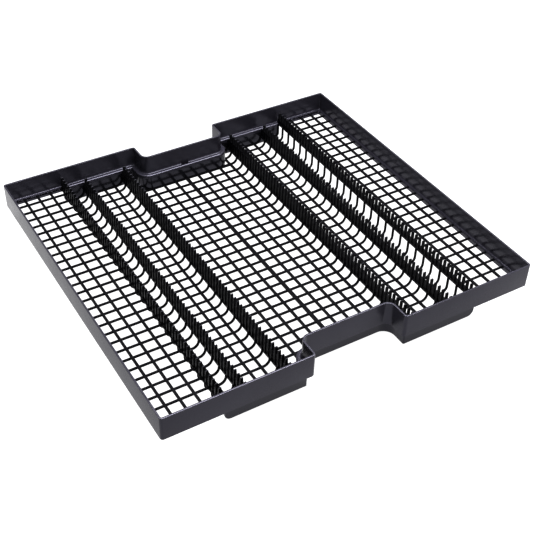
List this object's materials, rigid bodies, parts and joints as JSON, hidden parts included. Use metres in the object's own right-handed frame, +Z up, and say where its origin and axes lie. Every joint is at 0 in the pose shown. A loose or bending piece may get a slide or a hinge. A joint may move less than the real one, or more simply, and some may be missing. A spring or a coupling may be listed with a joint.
{
  "type": "dishwasher cutlery tray",
  "caption": "Shallow black plastic tray with an open grid floor at two levels, notches in front and back, and upright combs that hold cutlery apart.",
  "frame": {"origin": "centre of the footprint, at the underside of the deep floor", "axes": "+X to the right along the front wall, +Y to the back, +Z up"},
  "size_m": [0.5, 0.468, 0.051],
  "materials": {
    "black_plastic": "fine moulded grain, half matt"
  },
  "bodies": {
    "root": {"back_left_basin_wall": "black_plastic", "back_left_lobe_bar": "black_plastic", "back_left_wall": "black_plastic", "back_notch_basin_wall": "black_plastic", "back_notch_left_basin_wall": "black_plastic", "back_notch_left_wall": "black_plastic", "back_notch_right_basin_wall": "black_plastic", "back_notch_right_wall": "black_plastic", "back_notch_wall": "black_plastic", "back_right_basin_wall": "black_plastic", "back_right_lobe_bar": "black_plastic", "back_right_wall": "black_plastic", "centre_grid": "black_plastic", "front_left_basin_wall": "black_plastic", "front_left_lobe_bar": "black_plastic", "front_left_wall": "black_plastic", "front_notch_basin_wall": "black_plastic", "front_notch_left_basin_wall": "black_plastic", "front_notch_left_wall": "black_plastic", "front_notch_right_basin_wall": "black_plastic", "front_notch_right_wall": "black_plastic", "front_notch_wall": "black_plastic", "front_right_basin_wall": "black_plastic", "front_right_lobe_bar": "black_plastic", "front_right_wall": "black_plastic", "left_inner_comb": "black_plastic", "left_middle_comb": "black_plastic", "left_outer_comb": "black_plastic", "left_shelf_grid": "black_plastic", "left_side_wall": "black_plastic", "left_trough_grid": "black_plastic", "right_inner_comb": "black_plastic", "right_middle_comb": "black_plastic", "right_outer_comb": "black_plastic", "right_shelf_grid": "black_plastic", "right_side_wall": "black_plastic", "right_trough_grid": "black_plastic"}
  },
  "joints": []
}
